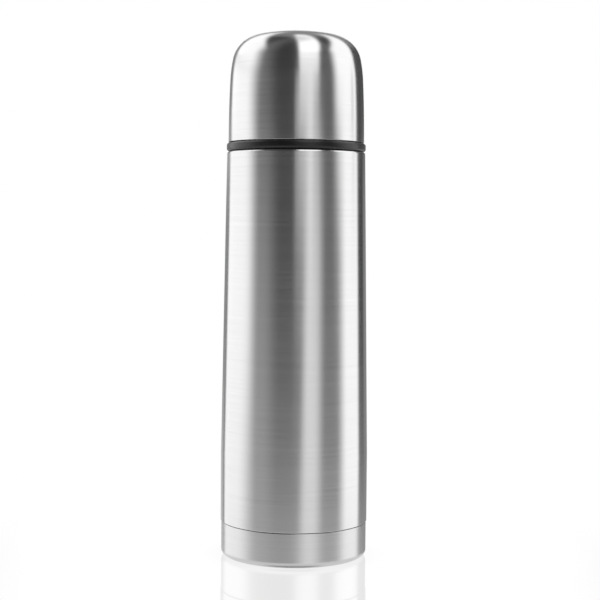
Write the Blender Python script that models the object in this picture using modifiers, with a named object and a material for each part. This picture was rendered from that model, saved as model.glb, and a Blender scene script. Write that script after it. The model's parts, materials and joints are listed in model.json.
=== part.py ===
"""Insulated steel bottle: a vacuum flask with a push-button stopper and a cup that screws on over it.

The bottle stands on z = 0 with its axis along +Z, and most pieces are turned about that axis.
Sizes below are in millimetres. They become metres where the geometry is made.
"""

import math

import bmesh
import bpy
from mathutils import Matrix, Vector

MM = 0.001
STEPS = 24  # flats round a turned piece
FINE_STEPS = 16  # flats round a small turned piece
PIN_STEPS = 12  # flats round a pin and its hole
GAP = 0.3  # clearance between pieces that touch
MERGE = 0.00001  # metres within which points are joined

# The bottle's outside
TOTAL_HEIGHT = 249.0
BODY_RADIUS = 35.0  # the straight lower part, and the greatest radius
TAPER_HEIGHT = 49.0  # the body narrows from here upwards
SHOULDER_RADIUS = 32.8
SHOULDER_HEIGHT = 192.2
SHOULDER_ROUND = 0.9
BASE_RADIUS = 34.7
BASE_HEIGHT = 16.3
BASE_ROUND = 2.8
BASE_WALL = 0.6
BASE_RECESS = 0.8  # how far the middle of the base is raised
SHELL_WALL = 0.5
SPIGOT_RADIUS = 33.6  # the shell's narrower end, inside the base cap
SPIGOT_BOTTOM = 5.2

# The neck, where the two walls of the flask meet
COLLAR_RADIUS = 28.0
LIP_HEIGHT = 204.9
LIP_OVERHANG = 3.1  # how far the rolled lip stands out from the neck
NECK_RADIUS = 22.0
NECK_WALL = 0.5
NECK_BOTTOM = 178.0

# The inner flask
FLASK_WALL = 0.4
FLASK_TOP_RADIUS = 29.2
FLASK_RADIUS = 31.2
FLASK_SHOULDER = 168.0
FLASK_BOTTOM = 11.4
FLASK_ROUND = 8.0

# Inside the vacuum space
PLATE_TOP = 7.6
PLATE_WALL = 0.5
PORT_RADIUS = 1.2
PORT_RAISE = 1.0
GETTER_OFFSET = 14.0
FOIL_CLEAR = 1.2
FOIL_THICK = 0.15
FOIL_BOTTOM = 24.0
FOIL_TOP = 164.0

# The cup: arcs from the crown outwards, each as (radius, angle where it ends)
CUP_EDGE = 196.7
CUP_ARCS = ((95.0, 11.7), (14.2, 78.8), (68.0, 87.3), (612.0, 89.9))
CUP_FLATS = (2, 4, 2, 1)  # straight runs that stand for each arc
CUP_WALL = 0.5
LINER_WALL = 1.2
RING_RADIUS = 33.0
RING_BOTTOM = 192.5
RING_ROUND = 1.3
RING_INNER = 30.4

# The stopper
PLUG_RADIUS = 19.9
PLUG_BOTTOM = 184.0
HEAD_RADIUS = 24.6
HEAD_BOTTOM = 206.6
HEAD_TOP = 216.5
SEAT_RADIUS = 9.0
BORE_RADIUS = 14.2
BORE_FLOOR = 206.4
CHAMBER_RADIUS = 17.9
CHAMBER_TOP = 203.0
BUTTON_RADIUS = 13.2
BUTTON_TOP = 222.0
BUTTON_SKIRT = 211.5
BUTTON_CROWN = 3.4  # thickness of the button's top
BOSS_RADIUS = 4.0
BOSS_BOTTOM = 214.0
STEM_RADIUS = 2.0
STEM_BOTTOM = 179.8
RING_PLATE_TOP = 218.6
COUNTERBORE = 1.8
O_RING_WIRE = 0.6
SEAL_RADIUS = 11.4
SPRING_WIRE = 0.45
SPRING_RADIUS = 7.0
SPRING_COILS = 4.5
SLOT_LOW = 207.6
SLOT_HIGH = 210.8
SLOT_INNER = 15.2
SLOT_HALF_WIDTH = 3.0
RISER_OUTER = 17.6
RISER_TOP = 209.5
RISER_HALF_WIDTH = 2.9

# The release wings, one on each side
WING_PIVOT_X = 19.2
WING_PIVOT_Z = 212.5
WING_WIDTH = 10.0
WING_REACH = (16.4, 20.4)  # nearest and furthest from the axis
WING_BOTTOM = 210.2
WING_TOP = 219.9
PAD_REACH = (16.2, 22.6)
PAD_HEIGHT = (219.5, 220.9)
NOSE_REACH = (13.7, 17.0)
NOSE_HEIGHT = (219.6, 220.8)
NOSE_HALF_WIDTH = 2.6
POCKET_REACH = (15.8, 22.2)
POCKET_HALF_WIDTH = 5.4
POCKET_BOTTOM = 209.2
PIN_RADIUS = 0.8
PIN_LENGTH = 13.6

# Threads: (pitch, turns, half thickness of the ridge)
CUP_THREAD = (3.0, 1.25, 0.7)
NECK_THREAD = (3.5, 1.5, 0.45)
COLLAR_THREAD_LOW = 199.0
LINER_THREAD_LOW = 197.7
NECK_THREAD_LOW = 192.0
PLUG_THREAD_LOW = 190.25
THREAD_RUN_OUT = 5  # points over which a ridge tapers at each end


# Scene helpers


def clear_scene():
    """Remove everything that the scene holds at the start."""
    for obj in list(bpy.data.objects):
        bpy.data.objects.remove(obj, do_unlink=True)


def collection(name):
    """A new collection under the scene's own."""
    made = bpy.data.collections.new(name)
    bpy.context.scene.collection.children.link(made)
    return made


def material(name, color, roughness, metallic=0.0):
    """A Principled material with one colour."""
    made = bpy.data.materials.new(name)
    made.use_nodes = True
    shader = made.node_tree.nodes["Principled BSDF"]
    shader.inputs["Base Color"].default_value = (*color, 1.0)
    shader.inputs["Roughness"].default_value = roughness
    shader.inputs["Metallic"].default_value = metallic
    return made


class Workshop:
    """Holds the collections and makes objects in them."""

    def __init__(self):
        self.parts = collection("insulated_water_bottle")
        self.cutters = collection("cutters")
        self.bodies = {}

    def body(self, name, parent=None, at=(0, 0, 0)):
        """An empty on a moving body's joint axis. Its pieces are parented to it."""
        empty = bpy.data.objects.new(name, None)
        empty.empty_display_size = 20 * MM
        self.parts.objects.link(empty)
        place = Vector(at) * MM
        if parent:
            empty.parent = self.bodies[parent][0]
            empty.location = place - self.bodies[parent][1]
        else:
            empty.location = place
        self.bodies[name] = (empty, place)

    def add(self, name, mesh, body, group):
        """An object on a body, whose mesh is given in the bottle's own coordinates."""
        empty, place = self.bodies[body]
        mesh.transform(Matrix.Translation(-place))
        obj = bpy.data.objects.new(name, mesh)
        group.objects.link(obj)
        obj.parent = empty
        return obj

    def part(self, name, mesh, body, finish):
        """A visible piece."""
        mesh.name = name
        obj = self.add(name, mesh, body, self.parts)
        obj.data.materials.append(finish)
        return obj

    def tool(self, name, mesh, target, operation):
        """A hidden helper that is cut from the target or joined to it."""
        obj = self.add(name, mesh, target.parent.name, self.cutters)
        obj.hide_render = True
        obj.display_type = "WIRE"
        boolean = target.modifiers.new(name, "BOOLEAN")
        boolean.operation = operation
        boolean.object = obj
        boolean.solver = "EXACT"


# Mesh helpers


def outline_mesh(points, loop):
    """A profile in the XZ plane: a chain from axis to axis or, as a loop, a ring's section."""
    shape = bmesh.new()
    corners = [shape.verts.new((x * MM, 0, z * MM)) for x, z in points]
    for first, second in zip(corners, corners[1:]):
        shape.edges.new((first, second))
    if loop:
        shape.edges.new((corners[-1], corners[0]))
    mesh = bpy.data.meshes.new("outline")
    shape.to_mesh(mesh)
    shape.free()
    return mesh


def turn(obj, steps=STEPS):
    """Turn an outline about the axis. The outline runs down its outer side."""
    screw = obj.modifiers.new("turned", "SCREW")
    screw.axis = "Z"
    screw.steps = steps
    screw.render_steps = steps
    screw.use_merge_vertices = True
    screw.merge_threshold = MERGE
    screw.use_smooth_shade = True


def turned(shop, name, points, body, finish, steps=STEPS):
    """A piece turned about the bottle's axis."""
    touches_axis = points[0][0] == 0 and points[-1][0] == 0
    obj = shop.part(name, outline_mesh(points, not touches_axis), body, finish)
    turn(obj, steps)
    return obj


def box_mesh(low, high):
    """A box between two corners."""
    shape = bmesh.new()
    size = [(b - a) * MM for a, b in zip(low, high)]
    middle = [(a + b) / 2 * MM for a, b in zip(low, high)]
    matrix = Matrix.Translation(middle) @ Matrix.Diagonal((*size, 1))
    bmesh.ops.create_cube(shape, size=1, matrix=matrix)
    mesh = bpy.data.meshes.new("box")
    shape.to_mesh(mesh)
    shape.free()
    return mesh


def rod_mesh(centre, radius, length, across=False, steps=FINE_STEPS):
    """A cylinder about its centre, upright or, across, along the Y axis."""
    shape = bmesh.new()
    lean = Matrix.Rotation(math.pi / 2, 4, "X") if across else Matrix()
    matrix = Matrix.Translation(Vector(centre) * MM) @ lean
    bmesh.ops.create_cone(
        shape,
        cap_ends=True,
        segments=steps,
        radius1=radius * MM,
        radius2=radius * MM,
        depth=length * MM,
        matrix=matrix,
    )
    mesh = bpy.data.meshes.new("rod")
    shape.to_mesh(mesh)
    shape.free()
    return mesh


def mirrored(side, reach):
    """A reach from the axis as low and high limits, on the side -1 or 1."""
    return sorted((side * reach[0], side * reach[1]))


def sweep_mesh(points, radius, thin_ends=0, resolution=0):
    """A round wire through the points, as a closed mesh. Its last few points can taper off."""
    curve = bpy.data.curves.new("wire", "CURVE")
    curve.dimensions = "3D"
    curve.bevel_depth = radius * MM
    curve.bevel_resolution = resolution
    curve.use_fill_caps = True
    line = curve.splines.new("POLY")
    line.points.add(len(points) - 1)
    last = len(points) - 1
    for index, (point, target) in enumerate(zip(points, line.points)):
        target.co = (*(Vector(point) * MM), 1)
        if thin_ends:
            target.radius = min(1, (min(index, last - index) + 0.5) / thin_ends)
    wire = bpy.data.objects.new("wire", curve)
    bpy.context.scene.collection.objects.link(wire)
    graph = bpy.context.evaluated_depsgraph_get()
    mesh = bpy.data.meshes.new_from_object(wire.evaluated_get(graph))
    bpy.data.objects.remove(wire, do_unlink=True)
    shape = bmesh.new()
    shape.from_mesh(mesh)
    bmesh.ops.remove_doubles(shape, verts=shape.verts, dist=MERGE)
    bmesh.ops.recalc_face_normals(shape, faces=shape.faces)
    shape.to_mesh(mesh)
    shape.free()
    return mesh


def helix(radius, low, pitch, turns, per_turn=STEPS):
    """Points on a rising helix."""
    count = round(turns * per_turn)
    points = []
    for index in range(count + 1):
        angle = 2 * math.pi * index / per_turn
        points.append((radius * math.cos(angle), radius * math.sin(angle), low + pitch * index / per_turn))
    return points


def arc(centre_x, centre_z, radius, start, end, count=3):
    """Points on an arc in the XZ plane, with angles in degrees from +X towards +Z."""
    points = []
    for index in range(count + 1):
        angle = math.radians(start + (end - start) * index / count)
        points.append((centre_x + radius * math.cos(angle), centre_z + radius * math.sin(angle)))
    return points


def dome(inset, edge):
    """The cup's outline from the crown to its open edge, at a distance inside the outer surface."""
    x = 0.0
    z = TOTAL_HEIGHT - inset
    start = 0.0
    points = [(x, z)]
    for (radius, end), count in zip(CUP_ARCS, CUP_FLATS):
        inner = radius - inset
        for index in range(1, count + 1):
            angle = math.radians(start + (end - start) * index / count)
            before = math.radians(start + (end - start) * (index - 1) / count)
            x += inner * (math.sin(angle) - math.sin(before))
            z += inner * (math.cos(angle) - math.cos(before))
            points.append((x, z))
        start = end
    points[-1] = (points[-1][0], edge)
    return points


# The flask


def make_outer_shell(shop, finish):
    """Outer wall: collar, shoulder, tapered body, and a narrower end that goes inside the base cap."""
    wall = SHELL_WALL
    round_z = SHOULDER_HEIGHT - SHOULDER_ROUND
    corner = SHOULDER_RADIUS - SHOULDER_ROUND
    seam = BASE_HEIGHT + GAP
    collar_top = LIP_HEIGHT - NECK_WALL - GAP
    outer = [
        (NECK_RADIUS + 2.3, collar_top),
        (COLLAR_RADIUS - 0.8, collar_top),
        (COLLAR_RADIUS, collar_top - 0.8),
        (COLLAR_RADIUS, SHOULDER_HEIGHT + 1),
        (COLLAR_RADIUS + 1, SHOULDER_HEIGHT),
        *arc(corner, round_z, SHOULDER_ROUND, 90, 0),
        (BODY_RADIUS, TAPER_HEIGHT),
        (BODY_RADIUS, seam + 0.3),
        (BODY_RADIUS - 0.3, seam),
        (SPIGOT_RADIUS, seam),
        (SPIGOT_RADIUS, SPIGOT_BOTTOM),
    ]
    inner = [
        (SPIGOT_RADIUS - wall, SPIGOT_BOTTOM),
        (SPIGOT_RADIUS - wall, seam + wall),
        (BODY_RADIUS - wall, seam + wall + 0.3),
        (BODY_RADIUS - wall, TAPER_HEIGHT),
        *arc(corner, round_z, SHOULDER_ROUND - wall, 0, 90),
        (COLLAR_RADIUS + 0.8, SHOULDER_HEIGHT - wall),
        (COLLAR_RADIUS - wall, SHOULDER_HEIGHT + 0.8),
        (COLLAR_RADIUS - wall, collar_top - 1),
        (COLLAR_RADIUS - 1, collar_top - wall),
        (NECK_RADIUS + 2.3, collar_top - wall),
    ]
    obj = turned(shop, "outer_shell", outer + inner, "flask", finish)
    pitch, turns, half = CUP_THREAD
    path = helix(COLLAR_RADIUS + 0.2, COLLAR_THREAD_LOW, pitch, turns)
    ridge = sweep_mesh(path, half, THREAD_RUN_OUT)
    shop.tool("collar_thread", ridge, obj, "UNION")


def make_inner_flask(shop, finish):
    """Inner wall: lip, threaded neck, shoulder, tapered body and rounded bottom."""
    wall = FLASK_WALL
    floor = FLASK_BOTTOM + FLASK_ROUND
    low_radius = FLASK_RADIUS - FLASK_ROUND
    neck_in = NECK_RADIUS - NECK_WALL
    outer = [
        (neck_in + 0.2, LIP_HEIGHT),
        (NECK_RADIUS + LIP_OVERHANG, LIP_HEIGHT),
        (NECK_RADIUS + LIP_OVERHANG + 0.3, LIP_HEIGHT - 0.25),
        (NECK_RADIUS + LIP_OVERHANG, LIP_HEIGHT - NECK_WALL),
        (NECK_RADIUS, LIP_HEIGHT - NECK_WALL),
        (NECK_RADIUS, NECK_BOTTOM),
        (NECK_RADIUS + 1.6, NECK_BOTTOM - 2.4),
        (FLASK_TOP_RADIUS - 1.2, FLASK_SHOULDER + 2.6),
        (FLASK_TOP_RADIUS, FLASK_SHOULDER),
        (FLASK_RADIUS, TAPER_HEIGHT),
        *arc(low_radius, floor, FLASK_ROUND, 0, -90),
        (0, FLASK_BOTTOM),
    ]
    inner = [
        (0, FLASK_BOTTOM + wall),
        *arc(low_radius, floor, FLASK_ROUND - wall, -90, 0),
        (FLASK_RADIUS - wall, TAPER_HEIGHT),
        (FLASK_TOP_RADIUS - wall, FLASK_SHOULDER),
        (FLASK_TOP_RADIUS - 1.5, FLASK_SHOULDER + 2.3),
        (NECK_RADIUS + 1.3, NECK_BOTTOM - 2.7),
        (neck_in, NECK_BOTTOM - 0.1),
        (neck_in, LIP_HEIGHT - 0.4),
    ]
    obj = turned(shop, "inner_flask", inner + outer, "flask", finish)
    pitch, turns, half = NECK_THREAD
    path = helix(neck_in - 0.15, NECK_THREAD_LOW, pitch, turns)
    ridge = sweep_mesh(path, half, THREAD_RUN_OUT)
    shop.tool("neck_thread", ridge, obj, "UNION")


def make_base_cap(shop, finish):
    """Pressed cap round the bottom. The bottle rests on the flat ring near its edge."""
    wall = BASE_WALL
    corner = BASE_RADIUS - BASE_ROUND
    points = [
        (0, BASE_RECESS + wall),
        (19.6, BASE_RECESS + wall),
        (20.8, wall),
        *arc(corner, BASE_ROUND, BASE_ROUND - wall, -90, 0),
        (BASE_RADIUS - wall, BASE_HEIGHT),
        (BASE_RADIUS, BASE_HEIGHT),
        *arc(corner, BASE_ROUND, BASE_ROUND, 0, -90),
        (21.0, 0),
        (19.8, BASE_RECESS),
        (0, BASE_RECESS),
    ]
    turned(shop, "base_cap", points, "flask", finish)


def make_bottom_plate(shop, steel, solder):
    """Plate that closes the vacuum space, with a raised dimple round the port and the port's plug."""
    rim = SPIGOT_RADIUS - SHELL_WALL - GAP
    under = PLATE_TOP - PLATE_WALL
    points = [
        (PORT_RADIUS, PLATE_TOP + PORT_RAISE),
        (3.4, PLATE_TOP + PORT_RAISE),
        (4.6, PLATE_TOP),
        (rim - 1, PLATE_TOP),
        (rim, PLATE_TOP - 1),
        (rim, SPIGOT_BOTTOM),
        (rim - PLATE_WALL, SPIGOT_BOTTOM),
        (rim - PLATE_WALL, under - 0.7),
        (rim - 1.2, under),
        (4.4, under),
        (3.2, under + PORT_RAISE),
        (PORT_RADIUS, under + PORT_RAISE),
    ]
    turned(shop, "outer_bottom_plate", points, "flask", steel)
    plug = [(0, 7.8), (2.6, 7.8), (3.3, 7.0), (2.8, 6.5), (0, 6.3)]
    turned(shop, "vacuum_port_plug", plug, "flask", solder, FINE_STEPS)


def make_getter(shop, steel, ceramic):
    """Tray and pellet in the vacuum space, off the axis."""
    place = Matrix.Translation(Vector((GETTER_OFFSET, 0, 0)) * MM)
    tray = [(0, 8.3), (4.2, 8.3), (4.2, 9.9), (4.6, 9.9), (4.6, 7.9), (0, 7.9)]
    obj = turned(shop, "getter_holder", tray, "flask", steel, FINE_STEPS)
    obj.matrix_local = place
    pellet = [(0, 9.9), (3.4, 9.9), (3.8, 9.6), (3.8, 8.6), (0, 8.6)]
    obj = turned(shop, "getter_pellet", pellet, "flask", ceramic, FINE_STEPS)
    obj.matrix_local = place


def make_foil(shop, finish):
    """Foil sleeve in the vacuum space, open at both ends and clear of both walls."""
    top = FLASK_TOP_RADIUS + FOIL_CLEAR
    bottom = FLASK_RADIUS + FOIL_CLEAR
    points = [
        (top, FOIL_TOP),
        (bottom, TAPER_HEIGHT),
        (bottom, FOIL_BOTTOM),
        (bottom - FOIL_THICK, FOIL_BOTTOM),
        (bottom - FOIL_THICK, TAPER_HEIGHT),
        (top - FOIL_THICK, FOIL_TOP),
    ]
    turned(shop, "radiation_foil", points, "flask", finish)


# The cup


def make_cup(shop, steel, plastic):
    """Steel dome, the plastic liner inside it with its thread, and the black ring under the edge."""
    shell = dome(0, CUP_EDGE) + dome(CUP_WALL, CUP_EDGE)[::-1]
    turned(shop, "cup_shell", shell, "cup", steel)
    outside = CUP_WALL + GAP
    liner = dome(outside, CUP_EDGE) + dome(outside + LINER_WALL, CUP_EDGE)[::-1]
    obj = turned(shop, "cup_liner", liner, "cup", plastic)
    inner_radius = liner[len(liner) // 2][0]
    pitch, turns, half = CUP_THREAD
    path = helix(inner_radius - 0.2, LINER_THREAD_LOW, pitch, turns)
    ridge = sweep_mesh(path, half, THREAD_RUN_OUT)
    shop.tool("liner_thread", ridge, obj, "UNION")
    top = CUP_EDGE - GAP
    edge = RING_RADIUS - RING_ROUND
    bead = [
        (RING_INNER, top),
        *arc(edge, top - RING_ROUND, RING_ROUND, 90, 0),
        *arc(edge, RING_BOTTOM + RING_ROUND, RING_ROUND, 0, -90),
        (RING_INNER, RING_BOTTOM),
    ]
    turned(shop, "cup_rim_ring", bead, "cup_ring", plastic)


# The stopper


def make_stopper_body(shop, finish):
    """Threaded plug and head, with the button's bore, the valve chamber and two pour channels."""
    points = [
        (BORE_RADIUS, HEAD_TOP),
        (HEAD_RADIUS - 1.6, HEAD_TOP),
        (HEAD_RADIUS, HEAD_TOP - 1.6),
        (HEAD_RADIUS, HEAD_BOTTOM + 0.6),
        (HEAD_RADIUS - 0.6, HEAD_BOTTOM),
        (PLUG_RADIUS, HEAD_BOTTOM),
        (PLUG_RADIUS, PLUG_BOTTOM + 1),
        (PLUG_RADIUS - 1, PLUG_BOTTOM),
        (SEAT_RADIUS, PLUG_BOTTOM),
        (SEAT_RADIUS, PLUG_BOTTOM + 2),
        (CHAMBER_RADIUS, PLUG_BOTTOM + 2),
        (CHAMBER_RADIUS, CHAMBER_TOP),
        (STEM_RADIUS + 0.4, CHAMBER_TOP),
        (STEM_RADIUS + 0.4, BORE_FLOOR - COUNTERBORE),
        (STEM_RADIUS + 2.6, BORE_FLOOR - COUNTERBORE),
        (STEM_RADIUS + 2.6, BORE_FLOOR),
        (BORE_RADIUS, BORE_FLOOR),
    ]
    obj = turned(shop, "stopper_body", points, "stopper", finish)
    pitch, turns, half = NECK_THREAD
    path = helix(PLUG_RADIUS + 0.05, PLUG_THREAD_LOW, pitch, turns)
    ridge = sweep_mesh(path, half + 0.15, THREAD_RUN_OUT)
    shop.tool("plug_thread", ridge, obj, "UNION")
    for side, name in ((-1, "pour"), (1, "vent")):
        near, far = mirrored(side, (SLOT_INNER, HEAD_RADIUS + 2))
        slot = box_mesh((-SLOT_HALF_WIDTH, near, SLOT_LOW), (SLOT_HALF_WIDTH, far, SLOT_HIGH))
        shop.tool(name + "_slot", slot, obj, "DIFFERENCE")
        near, far = mirrored(side, (SLOT_INNER, RISER_OUTER))
        riser = box_mesh((-RISER_HALF_WIDTH, near, CHAMBER_TOP - 1), (RISER_HALF_WIDTH, far, RISER_TOP))
        shop.tool(name + "_riser", riser, obj, "DIFFERENCE")
    for side, name in ((-1, "left"), (1, "right")):
        near, far = mirrored(side, POCKET_REACH)
        pocket = box_mesh((near, -POCKET_HALF_WIDTH, POCKET_BOTTOM), (far, POCKET_HALF_WIDTH, HEAD_TOP + 2))
        shop.tool("pocket_" + name, pocket, obj, "DIFFERENCE")
        centre = (side * WING_PIVOT_X, 0, WING_PIVOT_Z)
        hole = rod_mesh(centre, PIN_RADIUS + GAP, PIN_LENGTH + 2 * GAP, True, PIN_STEPS)
        shop.tool("pin_hole_" + name, hole, obj, "DIFFERENCE")


def make_top_ring(shop, finish):
    """Trim ring on the head, slotted where the release wings come through."""
    points = [
        (BORE_RADIUS, RING_PLATE_TOP),
        (HEAD_RADIUS - 1.8, RING_PLATE_TOP),
        (HEAD_RADIUS - 1.0, RING_PLATE_TOP - 0.8),
        (HEAD_RADIUS - 1.0, HEAD_TOP + GAP),
        (BORE_RADIUS, HEAD_TOP + GAP),
    ]
    obj = turned(shop, "stopper_top_ring", points, "stopper", finish)
    for side, name in ((-1, "left"), (1, "right")):
        near, far = mirrored(side, POCKET_REACH)
        low = (near, -POCKET_HALF_WIDTH, HEAD_TOP - 1)
        slot = box_mesh(low, (far, POCKET_HALF_WIDTH, RING_PLATE_TOP + 1))
        shop.tool("ring_slot_" + name, slot, obj, "DIFFERENCE")


def make_gasket(shop, finish):
    """Silicone ring between the stopper's head and the neck's lip."""
    low = LIP_HEIGHT + GAP
    high = HEAD_BOTTOM - GAP
    inner = PLUG_RADIUS + 0.9
    outer = HEAD_RADIUS - 0.6
    points = [
        (inner + 0.3, high),
        (outer - 0.3, high),
        (outer, high - 0.3),
        (outer, low + 0.3),
        (outer - 0.3, low),
        (inner + 0.3, low),
        (inner, low + 0.3),
        (inner, high - 0.3),
    ]
    turned(shop, "stopper_gasket", points, "stopper_seal", finish)


def make_o_ring(shop, finish):
    """Seal round the valve stem, in the counterbore under the button."""
    centre = STEM_RADIUS + 1.4
    height = BORE_FLOOR - COUNTERBORE / 2
    section = arc(centre, height, O_RING_WIRE, 90, -210, 5)
    turned(shop, "stem_o_ring", section, "stopper", finish, FINE_STEPS)


def make_button(shop, plastic, steel, silicone):
    """The button with its stem, valve plate, seal and return spring."""
    under = BUTTON_TOP - BUTTON_CROWN
    socket = STEM_RADIUS + GAP
    points = [
        (0, BUTTON_TOP),
        (8.0, BUTTON_TOP - 0.35),
        (BUTTON_RADIUS - 1.2, BUTTON_TOP - 1.0),
        (BUTTON_RADIUS, BUTTON_TOP - 2.2),
        (BUTTON_RADIUS, BUTTON_SKIRT),
        (BUTTON_RADIUS - 1.4, BUTTON_SKIRT),
        (BUTTON_RADIUS - 1.4, under),
        (BOSS_RADIUS, under),
        (BOSS_RADIUS, BOSS_BOTTOM),
        (socket, BOSS_BOTTOM),
        (socket, under - 0.6),
        (0, under - 0.6),
    ]
    turned(shop, "centre_button", points, "button", plastic)
    stem_top = under - 0.6 - GAP
    length = stem_top - STEM_BOTTOM
    stem = rod_mesh((0, 0, STEM_BOTTOM + length / 2), STEM_RADIUS, length)
    shop.part("valve_stem", stem, "button", steel)
    plate_top = PLUG_BOTTOM - 2.0
    plate = [
        (socket, plate_top + 3.5),
        (socket + 1.5, plate_top + 3.5),
        (socket + 1.5, plate_top),
        (SEAL_RADIUS - 0.2, plate_top),
        (SEAL_RADIUS, plate_top - 0.3),
        (SEAL_RADIUS, plate_top - 1.5),
        (SEAL_RADIUS - 0.3, plate_top - 1.8),
        (socket, plate_top - 1.8),
    ]
    turned(shop, "valve_plate", plate, "button", plastic)
    seal_in = socket + 1.5 + GAP
    seal = [
        (seal_in, PLUG_BOTTOM - GAP),
        (SEAL_RADIUS - 0.4, PLUG_BOTTOM - GAP),
        (SEAL_RADIUS, PLUG_BOTTOM - 0.8),
        (SEAL_RADIUS, plate_top + GAP),
        (seal_in, plate_top + GAP),
    ]
    turned(shop, "valve_seal", seal, "button", silicone)
    make_spring(shop, under, steel)


def make_spring(shop, under, finish):
    """Return spring between the floor of the bore and the button."""
    low = BORE_FLOOR + GAP + SPRING_WIRE
    high = under - GAP - SPRING_WIRE
    points = helix(SPRING_RADIUS, low, (high - low) / SPRING_COILS, SPRING_COILS, per_turn=10)
    spring = sweep_mesh(points, SPRING_WIRE, resolution=1)
    shop.part("button_spring", spring, "button", finish)


def make_wing(shop, side, name, plastic, steel):
    """Release wing: a lever on a pin, with a thumb pad outside and a nose over the button's rim."""
    half = WING_WIDTH / 2
    near, far = mirrored(side, WING_REACH)
    mesh = box_mesh((near, -half, WING_BOTTOM), (far, half, WING_TOP))
    wing = shop.part("release_wing_" + name, mesh, "wing_" + name, plastic)
    near, far = mirrored(side, PAD_REACH)
    pad = box_mesh((near, -half + 0.1, PAD_HEIGHT[0]), (far, half - 0.1, PAD_HEIGHT[1]))
    shop.tool("wing_pad_" + name, pad, wing, "UNION")
    near, far = mirrored(side, NOSE_REACH)
    nose = box_mesh((near, -NOSE_HALF_WIDTH, NOSE_HEIGHT[0]), (far, NOSE_HALF_WIDTH, NOSE_HEIGHT[1]))
    shop.tool("wing_nose_" + name, nose, wing, "UNION")
    centre = (side * WING_PIVOT_X, 0, WING_PIVOT_Z)
    hole = rod_mesh(centre, PIN_RADIUS + GAP, WING_WIDTH + 4, True, PIN_STEPS)
    shop.tool("wing_hole_" + name, hole, wing, "DIFFERENCE")
    pin = rod_mesh(centre, PIN_RADIUS, PIN_LENGTH, True, PIN_STEPS)
    shop.part("wing_pin_" + name, pin, "stopper", steel)


def main():
    """Build every piece, from the flask upwards."""
    clear_scene()
    shop = Workshop()
    steel = material("brushed_steel", (0.62, 0.62, 0.62), 0.28, 1.0)
    plain_steel = material("plain_steel", (0.55, 0.55, 0.56), 0.35, 1.0)
    black = material("black_plastic", (0.012, 0.012, 0.013), 0.18)
    grey = material("grey_plastic", (0.10, 0.10, 0.11), 0.35)
    silicone = material("silicone", (0.75, 0.76, 0.76), 0.5)
    foil = material("foil", (0.8, 0.8, 0.8), 0.2, 1.0)
    ceramic = material("ceramic", (0.35, 0.33, 0.31), 0.8)

    shop.body("flask")
    shop.body("stopper_seal", "flask", (0, 0, LIP_HEIGHT))
    shop.body("stopper", "stopper_seal", (0, 0, HEAD_BOTTOM))
    shop.body("button", "stopper", (0, 0, BUTTON_TOP))
    shop.body("wing_left", "stopper", (-WING_PIVOT_X, 0, WING_PIVOT_Z))
    shop.body("wing_right", "stopper", (WING_PIVOT_X, 0, WING_PIVOT_Z))
    shop.body("cup_ring", "stopper_seal", (0, 0, RING_BOTTOM))
    shop.body("cup", "cup_ring", (0, 0, CUP_EDGE))

    make_outer_shell(shop, steel)
    make_inner_flask(shop, plain_steel)
    make_base_cap(shop, steel)
    make_bottom_plate(shop, plain_steel, ceramic)
    make_getter(shop, plain_steel, ceramic)
    make_foil(shop, foil)
    make_gasket(shop, silicone)
    make_stopper_body(shop, black)
    make_top_ring(shop, grey)
    make_o_ring(shop, silicone)
    make_button(shop, grey, plain_steel, silicone)
    for side, name in ((-1, "left"), (1, "right")):
        make_wing(shop, side, name, grey, plain_steel)
    make_cup(shop, steel, black)


main()
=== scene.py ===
"""Insulated steel bottle with a push-button stopper under a screw-on cup: its shapes, finishes and studio.

Sizes are in millimetres until a mesh is made. Heights run up the bottle's axis, which is Z.
"""

import json
import logging
import math
from dataclasses import dataclass
from enum import Enum
from typing import Callable, Mapping, Optional, Sequence

import bmesh
import bpy
from mathutils import Matrix, Vector, noise

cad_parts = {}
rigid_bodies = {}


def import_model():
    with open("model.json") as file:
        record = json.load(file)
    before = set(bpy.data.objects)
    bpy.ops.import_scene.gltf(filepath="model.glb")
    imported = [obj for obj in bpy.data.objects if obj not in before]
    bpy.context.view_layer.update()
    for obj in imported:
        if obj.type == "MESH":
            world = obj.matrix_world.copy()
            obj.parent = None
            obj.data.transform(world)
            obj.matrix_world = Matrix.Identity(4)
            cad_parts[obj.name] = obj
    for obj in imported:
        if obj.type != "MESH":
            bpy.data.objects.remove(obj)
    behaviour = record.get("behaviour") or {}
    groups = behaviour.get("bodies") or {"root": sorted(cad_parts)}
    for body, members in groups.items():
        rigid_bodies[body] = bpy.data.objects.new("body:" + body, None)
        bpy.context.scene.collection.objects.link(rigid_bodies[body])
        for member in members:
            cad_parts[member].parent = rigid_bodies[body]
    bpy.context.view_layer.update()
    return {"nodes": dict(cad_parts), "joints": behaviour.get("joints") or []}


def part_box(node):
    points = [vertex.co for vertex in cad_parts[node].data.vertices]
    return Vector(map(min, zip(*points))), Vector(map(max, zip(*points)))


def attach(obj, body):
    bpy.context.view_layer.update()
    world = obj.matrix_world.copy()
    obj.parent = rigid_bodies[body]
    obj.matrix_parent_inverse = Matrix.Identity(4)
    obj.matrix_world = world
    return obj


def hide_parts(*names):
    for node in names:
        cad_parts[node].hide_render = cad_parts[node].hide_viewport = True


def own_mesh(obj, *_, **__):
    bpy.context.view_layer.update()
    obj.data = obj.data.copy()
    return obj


for leftover in list(bpy.data.objects):
    bpy.data.objects.remove(leftover, do_unlink=True)

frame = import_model()

MM = 0.001
AXIS = 1e-6
SHARP = 34.0
WIRE_SHARP = 50.0
STRAIGHT = 178.0
FILLET_STEP = 14.0
WHITE = (1.0, 1.0, 1.0, 1.0)
log = logging.getLogger("bottle")

Point = tuple[float, float]
Corner = tuple[float, ...]
Form = Callable[[float, float, float], float]


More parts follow.
